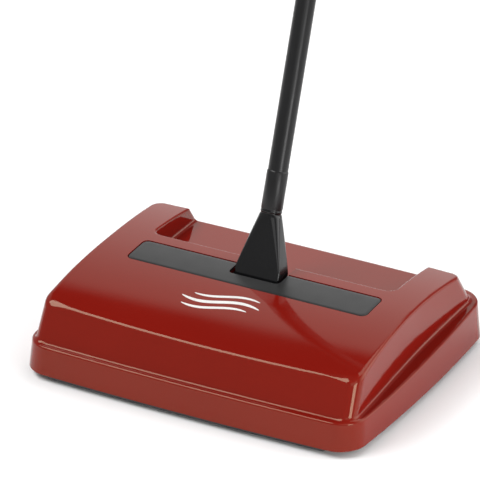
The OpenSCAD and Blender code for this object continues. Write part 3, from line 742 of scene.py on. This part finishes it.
# ---------------------------------------------------------------- brush
rng = np.random.default_rng(5)
points, faces = [], []
ROWS, PER_ROW, LENGTH, TURN, CORE_R, TIP_R = 4, 34, 188.0, 180.0, 8.0, 21.9
TUFT_HAIRS, TUFT_R, SPLAY, SPLAY_SPREAD = 16, 1.3, 0.9, 0.35
HAIR_ROOT, HAIR_MIDDLE, HAIR_TIP, HAIR_SUNK = 0.16, 0.15, 0.09, 1.5
for k in range(ROWS):
    for i in range(PER_ROW):
        f = i / (PER_ROW - 1)
        angle = math.radians(k * 360 / ROWS + TURN * abs(f - 0.5) + 20)
        centre_x = (f - 0.5) * LENGTH
        for _ in range(TUFT_HAIRS):
            r0, phi = TUFT_R * math.sqrt(rng.random()), rng.random() * 2 * math.pi
            dx, dt = r0 * math.cos(phi), r0 * math.sin(phi)
            lean_x = dx * SPLAY + rng.normal(0, SPLAY_SPREAD)
            lean_t = dt * SPLAY + rng.normal(0, SPLAY_SPREAD)
            tip = TIP_R - 0.2 - rng.random() * 0.7
            ends = []
            for r, w, ox, ot in ((CORE_R - HAIR_SUNK, HAIR_ROOT, dx, dt),
                                 ((CORE_R + tip) / 2, HAIR_MIDDLE, dx + lean_x * 0.4, dt + lean_t * 0.4),
                                 (tip, HAIR_TIP, dx + lean_x, dt + lean_t)):
                for c in range(3):
                    q = 2 * math.pi * c / 3 + phi
                    tx, tt = ox + w * math.cos(q), ot + w * math.sin(q)
                    ends.append((centre_x + tx, -r * math.sin(angle) + tt * math.cos(angle),
                                 r * math.cos(angle) + tt * math.sin(angle)))
            b = len(points)
            points += ends
            for level in (0, 3):
                low = b + level
                faces += [(low + c, low + (c + 1) % 3, low + 3 + (c + 1) % 3, low + 3 + c)
                          for c in range(3)]
            faces += [(b, b + 1, b + 2), (b + 6, b + 7, b + 8)]
make("brush_tufts", np.array(points) + BRUSH, faces, "brush", bristle,
     standing_for=["brush_bristles"])

# ---------------------------------------------------------------- tyres
TYRE_WALL, TREAD_SIDES, TREAD_DEPTH = 3.6, 96, 0.7
for fy in ("front", "rear"):
    for fx in ("left", "right"):
        node = f"tyre_{fy}_{fx}"
        low, high = (np.array(c) * 1000 - [0, SHIFT, 0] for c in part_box(node))
        centre, radius, half = (low + high) / 2, (high[2] - low[2]) / 2, (high[0] - low[0]) / 2
        inner = radius - TYRE_WALL
        t = np.arange(TREAD_SIDES) * 2 * math.pi / TREAD_SIDES
        groove = np.where(np.arange(TREAD_SIDES) % 4 < 2, 0.0, TREAD_DEPTH)
        # Each ring: its radius, its place across the tyre, and whether the tread is cut into it.
        rings = [(inner, -half, 0), (radius - 1.4, -half, 0), (radius - 0.9, -half + 0.6, 0),
                 (radius, -half + 1.3, 1), (radius, -0.7, 1), (radius - 0.6, -0.4, 0),
                 (radius - 0.6, 0.4, 0), (radius, 0.7, 1), (radius, half - 1.3, 1),
                 (radius - 0.9, half - 0.6, 0), (radius - 1.4, half, 0), (inner, half, 0)]
        pts = [np.column_stack([np.full(TREAD_SIDES, h), (r - groove * w) * np.cos(t),
                                (r - groove * w) * np.sin(t)]) for r, h, w in rings]
        make(f"tread_{fy}_{fx}", np.concatenate(pts) + centre,
             ring_faces(len(rings), TREAD_SIDES, wrap=True),
             f"wheel_{fy}_{fx}", tyre_look, smooth=28, standing_for=[node])

# ---------------------------------------------------------------- softened edges on the moulded CAD nodes
for name, width in (("chassis", 0.5), ("front_dust_pan", 0.5), ("rear_dust_pan", 0.5),
                    ("pivot_bracket", 0.4), ("bristle_comb", 0.2),
                    ("drive_disc_left", 0.5), ("drive_disc_right", 0.5),
                    ("wheel_hub_front_left", 0.3), ("wheel_hub_front_right", 0.3),
                    ("wheel_hub_rear_left", 0.3), ("wheel_hub_rear_right", 0.3),
                    ("lock_button", 0.4), ("brush_core", 0.4)):
    bevel = frame["nodes"][name].modifiers.new("edge", "BEVEL")
    bevel.width, bevel.segments, bevel.limit_method = width / 1000, 2, "ANGLE"
    bevel.angle_limit = math.radians(40)
    bevel.harden_normals = False

# ---------------------------------------------------------------- floor and light
FLOOR_HALF = 8.0           # metres
floor_look = Look("floor", (0.98, 0.98, 0.98), 0.85).mottle((0.96, 0.96, 0.96), 3, 0.8).material
mesh = bpy.data.meshes.new("floor")
corners = [(FLOOR_HALF * sx, FLOOR_HALF * sy, 0) for sx, sy in ((-1, -1), (1, -1), (1, 1), (-1, 1))]
mesh.from_pydata(corners, [], [(0, 1, 2, 3)])
mesh.materials.append(floor_look)
floor = bpy.data.objects.new("floor", mesh)
bpy.context.scene.collection.objects.link(floor)


class Sky:
    """World brightness as a function of direction: a lit backdrop behind, a dim room in front."""

    def __init__(self):
        world = bpy.data.worlds.new("studio")
        bpy.context.scene.world = world
        world.use_nodes = True
        self.tree = world.node_tree
        self.tree.nodes.clear()
        out = self.tree.nodes.new("ShaderNodeOutputWorld")
        self.background = self.tree.nodes.new("ShaderNodeBackground")
        self.tree.links.new(self.background.outputs[0], out.inputs[0])
        coords = self.tree.nodes.new("ShaderNodeTexCoord")
        split = self.tree.nodes.new("ShaderNodeSeparateXYZ")
        self.tree.links.new(coords.outputs["Generated"], split.inputs[0])
        self.x, self.y, self.z = (split.outputs[k] for k in "XYZ")

    def math(self, kind, a, b=None):
        node = self.tree.nodes.new("ShaderNodeMath")
        node.operation = kind
        for k, v in enumerate((a, b)):
            if isinstance(v, (int, float)):
                node.inputs[k].default_value = v
            elif v is not None:
                self.tree.links.new(v, node.inputs[k])
        return node.outputs[0]

    def curve(self, source, stops, low, high):
        """Piecewise linear brightness over source values from low to high; stops are (value, result)."""
        top = max(r for _, r in stops)
        ranged = self.tree.nodes.new("ShaderNodeMapRange")
        ranged.inputs["From Min"].default_value = low
        ranged.inputs["From Max"].default_value = high
        self.tree.links.new(source, ranged.inputs["Value"])
        ramp = self.tree.nodes.new("ShaderNodeValToRGB")
        points = ramp.color_ramp.elements
        while len(points) < len(stops):
            points.new(0.5)
        for point, (value, result) in zip(points, stops):
            point.position = (value - low) / (high - low)
            point.color = (*([result / top] * 3), 1)
        self.tree.links.new(ranged.outputs["Result"], ramp.inputs["Fac"])
        return self.math("MULTIPLY", ramp.outputs["Color"], top)


sky = Sky()
elevation = sky.math("MULTIPLY", sky.math("ARCSINE", sky.z), 180 / math.pi)
rear = sky.curve(elevation, [(-20, 1.0), (30, 1.0), (38, 0.86), (44, 0.72), (46.5, 0.03),
                             (90, 0.03)], -90, 90)
across = sky.curve(sky.x, [(-1, 0.35), (-0.62, 0.62), (-0.5, 0.9), (-0.38, 1.0), (-0.2, 0.8),
                           (-0.05, 0.25), (0.48, 0.25), (0.62, 2.2), (1, 2.2)], -1, 1)
front = sky.curve(elevation, [(-20, 0.28), (25, 0.28), (60, 0.2), (90, 0.1)], -90, 90)
behind = sky.curve(sky.y, [(-1, 0.0), (-0.1, 0.0), (0.35, 1.0), (1, 1.0)], -1, 1)
SPECULAR_SHARE = 0.72
lit = sky.math("MULTIPLY", sky.math("MULTIPLY", rear, across), behind)
dim = sky.math("MULTIPLY", front, sky.math("SUBTRACT", 1.0, behind))
brightness = sky.math("DIVIDE", sky.math("ADD", lit, dim), SPECULAR_SHARE)
sky.tree.links.new(brightness, sky.background.inputs["Color"])


def softbox(name, azimuth, height, wide, tall, radiance, distance):
    """A rectangular light; its place and size are angles in degrees, as seen from the body."""
    a, e = math.radians(azimuth), math.radians(height)
    aim = Vector((math.sin(a) * math.cos(e), -math.cos(a) * math.cos(e), math.sin(e)))
    light = bpy.data.lights.new(name, "AREA")
    light.shape = "RECTANGLE"
    light.size, light.size_y = (2 * distance * math.tan(math.radians(v / 2)) for v in (wide, tall))
    light.energy = radiance * math.pi * light.size * light.size_y
    obj = bpy.data.objects.new(name, light)
    bpy.context.scene.collection.objects.link(obj)
    obj.location = Vector(to_row([0, 0, 40])) + aim * distance
    obj.rotation_euler = aim.to_track_quat("Z", "Y").to_euler()


softbox("overhead", azimuth=150, height=62, wide=44, tall=30, radiance=2.3, distance=1.6)
softbox("front_left", azimuth=305, height=54, wide=44, tall=24, radiance=7.0, distance=3.0)
softbox("front_right", azimuth=46, height=30, wide=36, tall=22, radiance=1.0, distance=0.9)
softbox("right_strip", azimuth=60, height=9, wide=18, tall=16, radiance=8.0, distance=0.8)

bpy.context.scene.view_settings.view_transform = "Standard"
bpy.context.scene.view_settings.look = "None"
